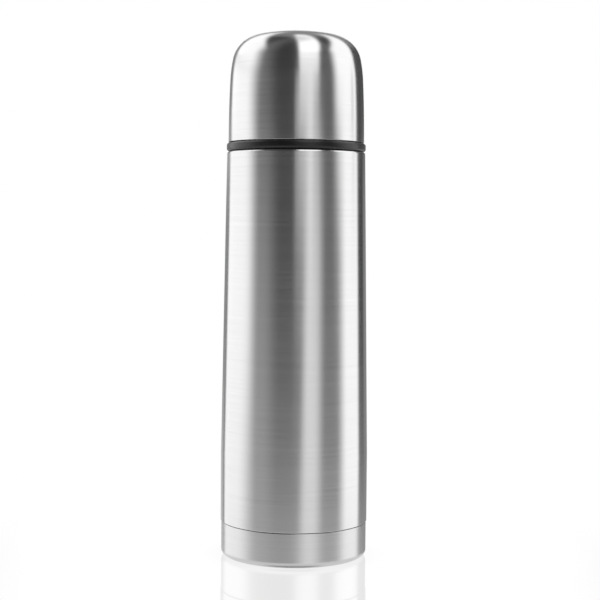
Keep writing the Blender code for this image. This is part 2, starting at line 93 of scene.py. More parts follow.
class Turn(Enum):
    """How many flats go round a turned piece."""

    FINE = 192
    RIBBED = 288
    SMALL = 64


class Side(Enum):
    """The two sides of the stopper's head."""

    LEFT = -1
    RIGHT = 1


# Shader graphs


class Value:
    """One output of a shader node, with arithmetic that adds Math nodes."""

    def __init__(self, graph: "Graph", socket: Optional[bpy.types.NodeSocket]) -> None:
        """Wrap a socket.

        Args:
            graph: The graph that the socket belongs to.
            socket: The output socket, or None for a node that has none.
        """
        self.graph = graph
        self.socket = socket

    def _maths(self, operation: str, first: "Value | float", second: "Value | float" = 0.0) -> "Value":
        """Add one Math node.

        Args:
            operation: The node's operation.
            first: Its first input.
            second: Its second input.

        Returns:
            The node's output.
        """
        return self.graph.node("Math", {"operation": operation}, {0: first, 1: second})

    def __add__(self, other: "Value | float") -> "Value":
        """Sum."""
        return self._maths("ADD", self, other)

    def __radd__(self, other: float) -> "Value":
        """Sum with a number in front."""
        return self._maths("ADD", other, self)

    def __sub__(self, other: "Value | float") -> "Value":
        """Difference."""
        return self._maths("SUBTRACT", self, other)

    def __rsub__(self, other: float) -> "Value":
        """Difference from a number."""
        return self._maths("SUBTRACT", other, self)

    def __mul__(self, other: "Value | float") -> "Value":
        """Product."""
        return self._maths("MULTIPLY", self, other)

    def __rmul__(self, other: float) -> "Value":
        """Product with a number in front."""
        return self._maths("MULTIPLY", other, self)

    def __pow__(self, other: float) -> "Value":
        """Power."""
        return self._maths("POWER", self, other)

    def __neg__(self) -> "Value":
        """The value with its sign changed."""
        return self._maths("MULTIPLY", self, -1.0)

    def over(self, low: float, high: float) -> "Value":
        """A smooth step.

        Args:
            low: Where it leaves 0.
            high: Where it reaches 1.

        Returns:
            The step's value, from 0 to 1.
        """
        return self.graph.node(
            "MapRange",
            {"interpolation_type": "SMOOTHSTEP"},
            {"Value": self, "From Min": low, "From Max": high},
        )


Input = Value | float | tuple


class Graph:
    """A node tree that nodes are added to by one method."""

    def __init__(self, tree: bpy.types.NodeTree) -> None:
        """Wrap a tree.

        Args:
            tree: The material's or the world's node tree.
        """
        self.tree = tree

    def node(
        self,
        kind: str,
        settings: Optional[Mapping[str, object]] = None,
        inputs: Optional[Mapping[str | int, Input]] = None,
        output: str | int = 0,
    ) -> Value:
        """Add a node.

        Args:
            kind: Its type, without the ShaderNode in front.
            settings: Its settings, which are set first.
            inputs: Values or links by the socket's name, identifier or index.
            output: The name or index of the output to use.

        Returns:
            The chosen output.
        """
        made = self.tree.nodes.new("ShaderNode" + kind)
        for key, setting in (settings or {}).items():
            setattr(made, key, setting)
        for key, value in (inputs or {}).items():
            self.feed(made, key, value)
        return Value(self, made.outputs[output] if made.outputs else None)

    def feed(self, made: bpy.types.Node, key: str | int, value: Input) -> None:
        """Set or link one input of a node.

        Args:
            made: The node.
            key: The socket's name, identifier or index.
            value: A number, a colour or vector, or a Value to link.
        """
        if isinstance(key, int):
            socket = made.inputs[key]
        else:
            socket = next(s for s in made.inputs if key in (s.identifier, s.name) and s.enabled)
        if isinstance(value, Value):
            self.tree.links.new(value.socket, socket)
        else:
            socket.default_value = value

    def mix(self, factor: Input, first: Input, second: Input) -> Value:
        """A blend of two colours.

        Args:
            factor: 0 for the first and 1 for the second.
            first: A colour.
            second: A colour.

        Returns:
            The blended colour.
        """
        settings = {"data_type": "RGBA"}
        inputs = {"Factor_Float": factor, "A_Color": first, "B_Color": second}
        return self.node("Mix", settings, inputs, 2)

    def spot(self) -> Value:
        """The surface point in the piece's own coordinates, in millimetres."""
        coordinates = self.node("TexCoord", output="Object")
        return self.node("VectorMath", {"operation": "SCALE"}, {0: coordinates, "Scale": 1 / MM})

    @staticmethod
    def across(x: Value, y: Value) -> Value:
        """The distance from the bottle's axis."""
        return (x * x + y * y) ** 0.5

    def split(self, vector: Value) -> tuple[Value, Value, Value]:
        """The three parts of a vector."""
        first = self.node("SeparateXYZ", inputs={0: vector})
        outputs = first.socket.node.outputs
        return first, Value(self, outputs[1]), Value(self, outputs[2])

    def join(self, x: Input, y: Input, z: Input) -> Value:
        """A vector from three values."""
        return self.node("CombineXYZ", inputs={0: x, 1: y, 2: z})

    def grain(self, vector: Value, scale: float = 1.0, detail: float = 2.0) -> Value:
        """Noise about zero.

        Args:
            vector: Where it is read.
            scale: Its scale.
            detail: How many finer layers it has.

        Returns:
            The noise, mostly from -0.25 to 0.25.
        """
        inputs = {"Vector": vector, "Scale": scale, "Detail": detail, "Roughness": 0.6}
        return self.node("TexNoise", {"normalize": True}, inputs) - 0.5

    def bump(self, height: Value, depth: float, strength: float = 1.0) -> Value:
        """A bumped normal.

        Args:
            height: The relief, about 1 from low to high.
            depth: How deep that is, in millimetres.
            strength: The bump's strength.

        Returns:
            The normal.
        """
        return self.node("Bump", inputs={"Height": height, "Distance": depth * MM, "Strength": strength})


# Finishes

Tint = tuple[float, float, float]


def paint(colour: Tint, share: float = 1.0, lift: float = 0.0) -> tuple[float, ...]:
    """An opaque colour from a tint, scaled by a share and then lifted."""
    return (*[min(1.0, channel * share + lift) for channel in colour], 1.0)


@dataclass(frozen=True)
class Finish:
    """A surface finish, which becomes one material."""

    name: str
    slot: str

    def surface(self, graph: Graph) -> dict[str, Input]:
        """What goes into the shader's sockets."""
        raise NotImplementedError

    def material(self) -> bpy.types.Material:
        """The material, which is made once."""
        title = self.name + "_finish"
        made = bpy.data.materials.get(title)
        if made is None:
            made = bpy.data.materials.new(title)
            made.use_nodes = True
            graph = Graph(made.node_tree)
            shader = made.node_tree.nodes["Principled BSDF"]
            for key, value in self.surface(graph).items():
                graph.feed(shader, key, value)
        return made

    def dress(self, piece: bpy.types.Object, body: str, *nodes: str) -> bpy.types.Object:
        """Give a piece this finish and its place in the frame.

        Args:
            piece: The piece, already in place.
            body: The CAD body it moves with.
            nodes: The CAD nodes it stands for.

        Returns:
            The same piece.
        """
        piece.data.materials.append(self.material())
        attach(piece, body)
        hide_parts(*nodes)
        log.info("%s: %d faces, %s, on %s", piece.name, len(piece.data.polygons), self.name, body)
        return piece


@dataclass(frozen=True)
class BrushedSteel(Finish):
    """Steel with fine brush lines that run round the bottle."""

    tone: float = 0.62
    roughness: float = 0.2
    pull: float = 0.7
    depth: float = 0.0015
    contrast: float = 0.14

    def surface(self, graph: Graph) -> dict[str, Input]:
        """Streaks in the tone, the roughness and the relief."""
        spot = graph.spot()
        x, y, z = graph.split(spot)
        along = z - graph.across(x, y)

        def streak(run: float, width: float, shift: float) -> Value:
            """Noise drawn out round the bottle."""
            return graph.grain(graph.join(x * (1 / run), y * (1 / run), along * (1 / width) + shift))

        fine = streak(40.0, 0.16, 3.0)
        middle = streak(55.0, 0.5, 41.0)
        broad = streak(90.0, 2.2, 87.0)
        scratch = streak(9.0, 0.3, 143.0).over(0.12, 0.22)
        haze = graph.grain(spot, 0.03)
        lines = fine * 1.1 + middle * 0.7 + broad * 0.2
        tint = (self.tone,) * 3
        dark, light = paint(tint, 1 - self.contrast), paint(tint, 1 + self.contrast)
        colour = graph.mix(lines * 0.5 + scratch * 0.06 + 0.5, dark, light)
        rough = self.roughness + lines * 0.07 + haze * 0.05 + scratch * 0.03
        relief = graph.bump(fine + middle * 0.8 - scratch * 0.25, self.depth)
        return {
            "Base Color": colour,
            "Metallic": 1.0,
            "Roughness": rough,
            "Normal": relief,
            "Anisotropic": self.pull,
            "Anisotropic Rotation": 0.25,
        }


@dataclass(frozen=True)
class SatinSteel(Finish):
    """Drawn steel, electro-polished to a soft sheen, with faint forming marks."""

    tone: float = 0.56
    roughness: float = 0.3

    def surface(self, graph: Graph) -> dict[str, Input]:
        """Soft clouds with faint rings."""
        spot = graph.spot()
        x, y, z = graph.split(spot)
        cloud = graph.grain(spot, 0.09, 3.0)
        ring = graph.grain(graph.join(x * 0.02, y * 0.02, (z - graph.across(x, y)) * 1.3), 1.0, 3.0)
        speck = graph.grain(spot, 3.2, 2.0)
        dark, light = paint((0.86, 0.86, 0.87), self.tone), paint((1.12, 1.12, 1.11), self.tone)
        colour = graph.mix(cloud * 0.8 + ring * 0.7 + 0.5, dark, light)
        rough = self.roughness + cloud * 0.14 + ring * 0.1 + speck * 0.06
        return {
            "Base Color": colour,
            "Metallic": 1.0,
            "Roughness": rough,
            "Normal": graph.bump(speck + ring * 2.0, 0.01),
        }


@dataclass(frozen=True)
class Plastic(Finish):
    """Moulded plastic, from polished to spark-eroded."""

    colour: Tint = (0.012, 0.012, 0.013)
    roughness: float = 0.12
    texture: float = 0.0
    texture_size: float = 0.35
    ior: float = 1.5
    sheen: float = 0.0

    def surface(self, graph: Graph) -> dict[str, Input]:
        """A little unevenness, handling haze and the mould's texture."""
        spot = graph.spot()
        cloud = graph.grain(spot, 0.12, 3.0)
        wave = graph.grain(spot, 0.35, 1.0)
        pores = graph.grain(spot, 1 / self.texture_size, 2.0)
        wear = cloud * 0.9 + pores * 0.5 * min(1.0, self.texture * 50) + 0.3
        colour = graph.mix(wear, paint(self.colour), paint(self.colour, 1.5, 0.002))
        rough = self.roughness + cloud * 0.08 + pores * 0.06
        relief = wave * 0.03 + pores * self.texture
        normal = graph.bump(relief, 1.0, 0.6)
        varied = {"Base Color": colour, "Roughness": rough, "Normal": normal}
        return {**varied, "IOR": self.ior, "Sheen Weight": self.sheen}


@dataclass(frozen=True)
class Silicone(Finish):
    """Milky silicone rubber with a dry bloom."""

    colour: Tint = (0.72, 0.73, 0.73)

    def surface(self, graph: Graph) -> dict[str, Input]:
        """Clouding and fine dust marks."""
        spot = graph.spot()
        cloud = graph.grain(spot, 0.25, 3.0)
        dust = graph.grain(spot, 2.5, 3.0)
        colour = graph.mix(cloud * 1.2 + dust * 0.4 + 0.6, paint(self.colour, 0.84), paint(self.colour))
        rough = 0.46 + cloud * 0.16 + dust * 0.1
        return {"Base Color": colour, "Roughness": rough, "Normal": graph.bump(dust, 0.02)}


@dataclass(frozen=True)
class Foil(Finish):
    """Thin metal foil, crinkled by hand."""

    tone: float = 0.82

    def surface(self, graph: Graph) -> dict[str, Input]:
        """Creases between flat facets, with painted shade darkening the creases."""
        spot = graph.spot()
        cells = graph.node("TexVoronoi", {"feature": "DISTANCE_TO_EDGE"}, {"Vector": spot, "Scale": 0.16})
        small = graph.node("TexVoronoi", {"feature": "F1"}, {"Vector": spot, "Scale": 0.5})
        crease_and_shade = cells.over(0.0, 0.09)
        tint = (self.tone,) * 3
        # painted shade: the foil's tone is darker along the creases
        colour = graph.mix(crease_and_shade, paint(tint, 0.8), paint(tint))
        relief = graph.bump(crease_and_shade * 0.5 + small * 0.5, 0.3)
        return {
            "Base Color": colour,
            "Metallic": 1.0,
            "Roughness": 0.2 + graph.grain(spot, 0.8) * 0.16,
            "Normal": relief,
        }


@dataclass(frozen=True)
class Speckled(Finish):
    """A mineral surface: fused glass or sintered powder."""

    colour: Tint = (0.06, 0.055, 0.05)
    fleck: Tint = (0.3, 0.28, 0.25)
    roughness: float = 0.3
    size: float = 0.5

    def surface(self, graph: Graph) -> dict[str, Input]:
        """Grains of two colours with pits between them."""
        spot = graph.spot()
        grains = graph.node("TexVoronoi", {"feature": "F1"}, {"Vector": spot, "Scale": 1 / self.size})
        chosen = graph.grain(spot, 0.8 / self.size).over(0.02, 0.16)
        colour = graph.mix(chosen, paint(self.colour), paint(self.fleck))
        rough = self.roughness + grains * 0.25
        relief = graph.bump(-grains, 0.12 * self.size)
        return {"Base Color": colour, "Roughness": rough, "Normal": relief}


STEEL = BrushedSteel("brushed_steel", "brushed_steel")
BASE_STEEL = BrushedSteel("base_steel", "brushed_steel", roughness=0.3)
PLAIN = SatinSteel("plain_steel", "plain_steel")
JET = (0.004, 0.004, 0.0045)
POLISHED_BLACK = Plastic("polished_black", "black_plastic", JET, 0.27, ior=1.42, sheen=0.12)
SATIN_BLACK = Plastic("satin_black", "black_plastic", (0.016, 0.016, 0.017), 0.38, 0.012)
GREY = Plastic("matt_grey", "grey_plastic", (0.1, 0.1, 0.108), 0.42, 0.016, 0.3)
RUBBER = Silicone("silicone", "silicone")
FOIL = Foil("foil", "foil")
SOLDER = Speckled("solder_glass", "solder_glass")
GETTER = Speckled("getter", "getter", (0.3, 0.28, 0.26), (0.12, 0.11, 0.1), 0.75, 0.3)


# Shapes


@dataclass(frozen=True)
class Span:
    """A CAD node's box, in millimetres."""

    low: Vector
    high: Vector

    @classmethod
    def of(cls, node: str) -> "Span":
        """The box of a CAD node."""
        low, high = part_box(node)
        return cls(low / MM, high / MM)

    @property
    def radius(self) -> float:
        """Half the width."""
        return (self.high.x - self.low.x) / 2

    @property
    def bottom(self) -> float:
        """The lowest height."""
        return self.low.z

    @property
    def top(self) -> float:
        """The greatest height."""
        return self.high.z

    @property
    def middle(self) -> Vector:
        """The box's centre."""
        return (self.low + self.high) / 2


def arc(centre: Point, radius: float, start: float, end: float, count: int) -> list[Point]:
    """Points on an arc.

    Args:
        centre: The arc's centre.
        radius: Its radius.
        start: The first angle, in degrees from outwards to upwards.
        end: The last angle.
        count: How many steps it has.

    Returns:
        The points, both ends among them.
    """
    angles = [math.radians(start + (end - start) * index / count) for index in range(count + 1)]
    return [(centre[0] + radius * math.cos(a), centre[1] + radius * math.sin(a)) for a in angles]


def rows(start: Point, end: Point, gap: float) -> list[Point]:
    """Evenly spaced points on a line.

    Args:
        start: The first point.
        end: The last point.
        gap: The greatest distance between points.

    Returns:
        The points, both ends among them.
    """
    count = max(1, math.ceil(math.dist(start, end) / gap))
    return [
        (start[0] + (end[0] - start[0]) * i / count, start[1] + (end[1] - start[1]) * i / count)
        for i in range(count + 1)
    ]


def _fillet(before: Vector, corner: Vector, after: Vector, radius: float) -> list[Point]:
    """The arc that rounds one corner, with a support point on each side.

    Args:
        before: The point before the corner.
        corner: The corner.
        after: The point after it.
        radius: The fillet's radius, which is cut back to fit.

    Returns:
        The points that take the corner's place.
    """
    back, ahead = before - corner, after - corner
    angle = back.angle(ahead, math.pi)
    if angle > math.radians(STRAIGHT):
        return [tuple(corner)]
    longest = 0.48 * min(back.length, ahead.length)
    reach = min(radius / math.tan(angle / 2), longest)
    radius = reach * math.tan(angle / 2)
    back.normalize()
    ahead.normalize()
    start, end = corner + back * reach, corner + ahead * reach
    centre = corner + (back + ahead).normalized() * (radius / math.sin(angle / 2))
    turn = math.pi - angle
    count = max(2, math.ceil(math.degrees(turn) / FILLET_STEP))
    support = min(0.3 * reach, 0.12)
    points = [tuple(start + back * support)]
    first, last = start - centre, end - centre
    for index in range(count + 1):
        share = index / count
        weight = math.sin((1 - share) * turn), math.sin(share * turn)
        points.append(tuple(centre + (first * weight[0] + last * weight[1]) / math.sin(turn)))
    points.append(tuple(end + ahead * support))
    return points


def rounded(corners: Sequence[Corner], closed: bool) -> list[Point]:
    """An outline with its corners rounded.

    Args:
        corners: (radius, height) or (radius, height, fillet) for each corner.
        closed: Whether the last corner joins the first.

    Returns:
        The outline's points.
    """
    points: list[Point] = []
    count = len(corners)
    for index, corner in enumerate(corners):
        inside = closed or 0 < index < count - 1
        if len(corner) < 3 or not inside or corner[2] <= 0:
            points.append((corner[0], corner[1]))
            continue
        before = Vector(corners[index - 1][:2])
        after = Vector(corners[(index + 1) % count][:2])
        points += _fillet(before, Vector(corner[:2]), after, corner[2])
    return points


def shade(shape: bmesh.types.BMesh, sharp: float = SHARP) -> None:
    """Smooth a mesh, except at edges that turn more than an angle, in degrees."""
    limit = math.radians(sharp)
    for face in shape.faces:
        face.smooth = True
    for edge in shape.edges:
        edge.smooth = edge.calc_face_angle(0.0) < limit


def piece_of(name: str, shape: bmesh.types.BMesh, sharp: float = SHARP) -> bpy.types.Object:
    """Turn a mesh in millimetres into a piece of the model.

    Args:
        name: The piece's name.
        shape: The mesh, which is used up.
        sharp: Edges that turn more than this, in degrees, stay sharp.

    Returns:
        The new object, at the origin.
    """
    bmesh.ops.recalc_face_normals(shape, faces=shape.faces)
    shade(shape, sharp)
    bmesh.ops.scale(shape, vec=(MM, MM, MM), verts=shape.verts)
    mesh = bpy.data.meshes.new(name)
    shape.to_mesh(mesh)
    shape.free()
    made = bpy.data.objects.new(name, mesh)
    bpy.context.scene.collection.objects.link(made)
    return made


def spun(outline: Sequence[Point], steps: int, form: Optional[Form] = None) -> bmesh.types.BMesh:
    """Turn an outline about the axis.

    Args:
        outline: A chain from axis to axis, or the closed section of a ring.
        steps: How many flats go round.
        form: Gives a point's radius from its angle, radius and height.

    Returns:
        The closed mesh, in millimetres.
    """
    shape = bmesh.new()
    angles = [2 * math.pi * step / steps for step in range(steps)]
    turns = [(math.cos(angle), math.sin(angle)) for angle in angles]
    hoops: list[list[bmesh.types.BMVert]] = []
    for radius, height in outline:
        if radius < AXIS:
            hoops.append([shape.verts.new((0.0, 0.0, height))])
            continue
        hoop = []
        for angle, (cosine, sine) in zip(angles, turns):
            reach = form(angle, radius, height) if form else radius
            hoop.append(shape.verts.new((reach * cosine, reach * sine, height)))
        hoops.append(hoop)
    solid = outline[0][0] < AXIS and outline[-1][0] < AXIS
    pairs = list(zip(hoops, hoops[1:])) + ([] if solid else [(hoops[-1], hoops[0])])
    for first, second in pairs:
        for step in range(steps):
            after = (step + 1) % steps
            if len(first) == 1:
                shape.faces.new((first[0], second[step], second[after]))
            elif len(second) == 1:
                shape.faces.new((first[step], second[0], first[after]))
            else:
                shape.faces.new((first[step], second[step], second[after], first[after]))
    return shape


def turned(
    name: str,
    outline: Sequence[Point],
    turn: Turn = Turn.FINE,
    form: Optional[Form] = None,
) -> bpy.types.Object:
    """A piece turned about the bottle's axis.

    Args:
        name: The piece's name.
        outline: A chain from axis to axis, or the closed section of a ring.
        turn: How fine it is.
        form: Gives a point's radius from its angle, radius and height.

    Returns:
        The piece.
    """
    return piece_of(name, spun(outline, turn.value, form))


def swept(name: str, path: Sequence[Vector], radius: float, sides: int = 14) -> bpy.types.Object:
    """A round wire along a path that winds about the axis.

    Args:
        name: The piece's name.
        path: Points on its centre line, in millimetres.
        radius: The wire's radius.
        sides: How many flats the wire has.

    Returns:
        The piece, with flat ends.
    """
    shape = bmesh.new()
    hoops = []
    for index, point in enumerate(path):
        ahead = path[min(index + 1, len(path) - 1)] - path[max(index - 1, 0)]
        outward = Vector((point.x, point.y, 0.0)).normalized()
        across = ahead.normalized().cross(outward).normalized()
        hoop = []
        for side in range(sides):
            angle = 2 * math.pi * side / sides
            reach = outward * math.cos(angle) + across * math.sin(angle)
            hoop.append(shape.verts.new(point + reach * radius))
        hoops.append(hoop)
    for first, second in zip(hoops, hoops[1:]):
        for side in range(sides):
            after = (side + 1) % sides
            shape.faces.new((first[side], second[side], second[after], first[after]))
    shape.faces.new(hoops[0])
    shape.faces.new(hoops[-1])
    return piece_of(name, shape, WIRE_SHARP)


def block(low: Sequence[float], high: Sequence[float], bevel: float) -> bmesh.types.BMesh:
    """A box with rounded edges.

    Args:
        low: Its lowest corner.
        high: Its highest corner.
        bevel: The edges' radius.

    Returns:
        The mesh, in millimetres.
    """
    shape = bmesh.new()
    size = [b - a for a, b in zip(low, high)]
    middle = [(a + b) / 2 for a, b in zip(low, high)]
    bmesh.ops.create_cube(shape, size=1, matrix=Matrix.Translation(middle) @ Matrix.Diagonal((*size, 1)))
    edges = list(shape.edges)
    bmesh.ops.bevel(shape, geom=edges, offset=bevel, segments=4, profile=0.5, affect="EDGES")
    return shape


def apart(sign: int, near: float, far: float) -> tuple[float, float]:
    """A reach off the axis, on the side -1 or 1, as its low and high ends."""
    return min(sign * near, sign * far), max(sign * near, sign * far)


def shaped(base: bpy.types.Object, tools: Sequence[tuple[bmesh.types.BMesh, str]]) -> bpy.types.Object:
    """Cut tools from a piece or join them to it.

    Args:
        base: The piece.
        tools: Meshes in millimetres, each with its operation.

    Returns:
        The same piece, with a new mesh.
    """
    helpers = []
    for index, (shape, operation) in enumerate(tools):
        helper = piece_of(f"tool_{index}", shape)
        modifier = base.modifiers.new(helper.name, "BOOLEAN")
        modifier.operation = operation
        modifier.solver = "EXACT"
        modifier.object = helper
        helpers.append(helper)
    graph = bpy.context.evaluated_depsgraph_get()
    mesh = bpy.data.meshes.new_from_object(base.evaluated_get(graph))
    base.modifiers.clear()
    for helper in helpers:
        bpy.data.objects.remove(helper, do_unlink=True)
    shape = bmesh.new()
    shape.from_mesh(mesh)
    bmesh.ops.remove_doubles(shape, verts=shape.verts, dist=AXIS)
    bmesh.ops.dissolve_degenerate(shape, edges=shape.edges, dist=AXIS)
    shade(shape)
    shape.to_mesh(base.data)
    shape.free()
    bpy.data.meshes.remove(mesh)
    return base


@dataclass(frozen=True)
class Thread:
    """A rolled thread's ridge: a helix that fades in and out at its ends."""

    low: float
    pitch: float
    turns: float
    height: float
    width: float
    fade: float = 0.12

    def rise(self, angle: float, height: float) -> float:
        """How far the ridge stands out.

        Args:
            angle: The angle round the bottle, in radians.
            height: The height up the bottle.

        Returns:
            The rise, in millimetres.
        """
        best = 0.0
        first = angle / (2 * math.pi)
        for extra in range(math.ceil(self.turns) + 1):
            place = first + extra
            if place > self.turns:
                break
            away = abs(height - self.low - self.pitch * place) / (self.width / 2)
            if away < 1:
                ends = min(1.0, place / self.fade, (self.turns - place) / self.fade)
                best = max(best, self.height * (0.5 + 0.5 * math.cos(math.pi * away)) * ends)
        return best


THREAD_ROW = 0.22
COLLAR_THREAD = Thread(199.0, 3.0, 1.25, 0.8, 1.7)
LINER_THREAD = Thread(197.7, 3.0, 1.25, 0.75, 1.7)
NECK_THREAD = Thread(192.0, 3.5, 1.5, 0.6, 1.5)
PLUG_THREAD = Thread(190.25, 3.5, 1.5, 0.65, 1.5)


# The flask


@dataclass
class Flask:
    """Both steel walls, the base cap and what is sealed in the vacuum between them."""

    wall: float = 0.5
    thin_wall: float = 0.4
    base_wall: float = 0.6
    recess: float = 0.8
    boss: float = 1.1
    collar: float = 28.0
    mouth: float = 24.3
    neck: float = 21.5
    lip: float = 25.1
    shoulder_round: float = 0.9
    inner_bend: float = 51.5
    inner_shoulder: Point = (29.2, 168.0)
    fold: float = 0.5
    crinkle: float = 0.15
    foil_wall: float = 0.15

    def build(self) -> None:
        """Make and dress every piece of the flask."""
        self.outer_wall()
        self.inner_wall()
        self.base()
        self.bottom_plate()
        self.getter()
        self.foil()

    def outer_wall(self) -> bpy.types.Object:
        """The brushed body with its shoulder, collar and the narrow end inside the base cap."""
        span = Span.of("outer_shell")
        cap = Span.of("base_cap")
        seam = cap.top + 0.3
        bend = self.taper_height(span)
        shoulder = Span.of("cup_rim_ring").bottom - 0.3
        top = span.top
        rim = self.shoulder_radius(span)
        spigot = cap.radius - self.base_wall - self.wall
        collar, wall = self.collar, self.wall
        corners = [
            (self.mouth, top),
            (collar, top, 0.8),
            *rows((collar, top - 1.0), (collar, shoulder + 1.6), THREAD_ROW),
            (collar, shoulder, 0.9),
            (rim, shoulder, self.shoulder_round),
            (span.radius, bend, 90.0),
            (span.radius, seam, 0.25),
            (spigot, seam, 0.2),
            (spigot, span.bottom, 0.1),
            (spigot - wall, span.bottom, 0.1),
            (spigot - wall, seam + wall, 0.2),
            (span.radius - wall, seam + wall, 0.2),
            (span.radius - wall, bend, 90.0),
            (rim - wall, shoulder - wall, self.shoulder_round - wall),
            (collar - wall, shoulder - wall, 0.4),
            *rows((collar - wall, shoulder + 1.6), (collar - wall, top - 1.4), THREAD_ROW),
            (collar - wall, top - wall, 0.4),
            (self.mouth, top - wall),
        ]

        def form(angle: float, radius: float, height: float) -> float:
            """Raise the collar's thread on both faces of the wall."""
            return radius + (COLLAR_THREAD.rise(angle, height) if radius < collar + 0.1 else 0.0)

        piece = turned("body_wall", rounded(corners, True), form=form)
        return STEEL.dress(piece, "flask", "outer_shell")

    @staticmethod
    def body_points() -> list[Point]:
        """The radius and height of every corner of the CAD body."""
        corners = [vertex.co / MM for vertex in frame["nodes"]["outer_shell"].data.vertices]
        return [(math.hypot(corner.x, corner.y), corner.z) for corner in corners]

    def taper_height(self, span: Span) -> float:
        """The height where the body starts to narrow."""
        return max(height for radius, height in self.body_points() if radius > span.radius - 0.01)

    def shoulder_radius(self, span: Span) -> float:
        """The body's radius just under its shoulder."""
        low = self.taper_height(span) + 1
        return max(radius for radius, height in self.body_points() if height > low)

    def inner_wall(self) -> bpy.types.Object:
        """The inner flask: a rolled lip, the threaded neck, shoulder, body and dished bottom."""
        span = Span.of("inner_flask")
        top, low, wide = span.top, span.bottom, span.radius
        neck, lip, thin, fold = self.neck, self.lip, self.thin_wall, self.fold
        shoulder, bend = self.inner_shoulder, self.inner_bend
        threaded = rows((neck, 190.0), (neck, 199.0), THREAD_ROW)
        outer = [
            (0.0, low + 0.9),
            (18.0, low, 40.0),
            (wide, low, 8.0),
            (wide, bend, 60.0),
            (*shoulder, 4.0),
            (27.2, 171.6, 5.0),
            (22.9, 175.9, 3.0),
            (neck + fold, 178.6, 2.0),
            *[(radius + fold, height) for radius, height in threaded],
            (neck + fold, top - fold, 0.2),
            (lip, top - fold),
            *arc((lip, top - fold / 2), fold / 2, -90, 90, 6)[1:-1],
            (lip, top),
        ]
        inner = [
            (neck, top, 0.35),
            *threaded[::-1],
            (neck, 178.4, 2.0),
            (22.6, 175.6, 3.0),
            (26.9, 171.4, 5.0),
            (shoulder[0] - thin, shoulder[1], 4.0),
            (wide - thin, bend, 60.0),
            (wide - thin, low + thin, 8.0 - thin),
            (18.0, low + thin, 40.0),
            (0.0, low + thin + 0.9),
        ]

        def form(angle: float, radius: float, height: float) -> float:
            """Press the neck's thread inwards."""
            return radius - (NECK_THREAD.rise(angle, height) if radius < neck + fold + 0.1 else 0.0)

        piece = turned("inner_wall", rounded(outer + inner, False), form=form)
        return PLAIN.dress(piece, "flask", "inner_flask")

    def base(self) -> bpy.types.Object:
        """The pressed cap round the bottom, with a stepped underside."""
        span = Span.of("base_cap")
        radius, top, wall = span.radius, span.top, self.base_wall
        recess, boss = self.recess, self.boss
        corners = [
            (0.0, boss),
            (11.4, boss, 0.25),
            (12.2, recess, 0.25),
            (19.8, recess, 0.5),
            (21.0, 0.0, 0.6),
            (radius, 0.0, 2.8),
            (radius, top, 0.16),
            (radius - wall, top, 0.16),
            (radius - wall, wall, 2.2),
            (20.8, wall, 0.4),
            (19.6, recess + wall, 0.4),
            (12.0, recess + wall, 0.2),
            (11.2, boss + wall, 0.2),
            (0.0, boss + wall),
        ]
        return BASE_STEEL.dress(turned("base_cup", rounded(corners, False)), "flask", "base_cap")

    def bottom_plate(self) -> None:
        """The plate that closes the vacuum, and the bead of solder glass in its port."""
        span = Span.of("outer_bottom_plate")
        rim, top, wall = span.radius, span.top, self.wall
        flat = top - 1.0
        groove = flat - 0.4
        corners = [
            (1.2, top, 0.1),
            (3.4, top, 0.5),
            (4.6, flat, 0.5),
            (20.0, flat, 0.4),
            (20.8, groove, 0.4),
            (24.0, groove, 0.4),
            (24.8, flat, 0.4),
            (rim, flat, 1.0),
            (rim, span.bottom, 0.1),
            (rim - wall, span.bottom, 0.1),
            (rim - wall, flat - wall, 0.6),
            (25.0, flat - wall, 0.3),
            (24.2, groove - wall, 0.3),
            (20.6, groove - wall, 0.3),
            (19.8, flat - wall, 0.3),
            (4.4, flat - wall, 0.4),
            (3.2, top - wall, 0.4),
            (1.2, top - wall, 0.1),
        ]
        PLAIN.dress(turned("bottom_plate", rounded(corners, True)), "flask", "outer_bottom_plate")
        plug = Span.of("vacuum_port_plug")
        bead = [
            (0.0, plug.top),
            (2.7, plug.top - 0.1, 0.5),
            (plug.radius, plug.top - 0.8, 0.5),
            (2.8, plug.bottom + 0.25, 0.5),
            (0.0, plug.bottom),
        ]

        def sag(angle: float, radius: float, height: float) -> float:
            """Let the molten edge wander a little."""
            return radius * (0.985 + 0.015 * math.sin(5 * angle + 1.3) * math.sin(2 * angle))

        SOLDER.dress(turned("port_glass", rounded(bead, False), Turn.SMALL, sag), "flask", "vacuum_port_plug")

    def getter(self) -> None:
        """The getter's tray, with a turned lip, and its pellet."""
        tray = Span.of("getter_holder")
        low, top, radius = tray.bottom, tray.top, tray.radius
        thin = self.thin_wall
        dish = [
            (0.0, low + thin),
            (radius - thin, low + thin, 0.3),
            (radius - thin, top - 0.1),
            (radius - thin / 2, top),
            (radius, top - 0.1),
            (radius, low, 0.5),
            (0.0, low),
        ]
        cake = Span.of("getter_pellet")
        low, top, radius = cake.bottom, cake.top, cake.radius
        pellet = [
            (0.0, top - 0.15),
            (2.6, top - 0.15, 0.2),
            (2.9, top, 0.1),
            (radius, top, 0.35),
            (radius, low, 0.2),
            (0.0, low),
        ]
        items = (
            ("getter_tray", dish, PLAIN, "getter_holder", tray),
            ("getter_cake", pellet, GETTER, "getter_pellet", cake),
        )
        for name, corners, finish, node, span in items:
            piece = turned(name, rounded(corners, False), Turn.SMALL)
            piece.data.transform(Matrix.Translation((span.middle.x * MM, span.middle.y * MM, 0.0)))
            finish.dress(piece, "flask", node)

    def foil(self) -> bpy.types.Object:
        """The foil sleeve round the inner flask, crinkled."""
        span = Span.of("radiation_foil")
        wide, gap = span.radius - self.crinkle, 2.2
        bend = (wide, self.taper_height(Span.of("outer_shell")))
        outer = rows((wide, span.bottom), bend, gap) + rows(bend, (wide - 2.0, span.top), gap)[1:]
        inner = [(radius - self.foil_wall, height) for radius, height in reversed(outer)]

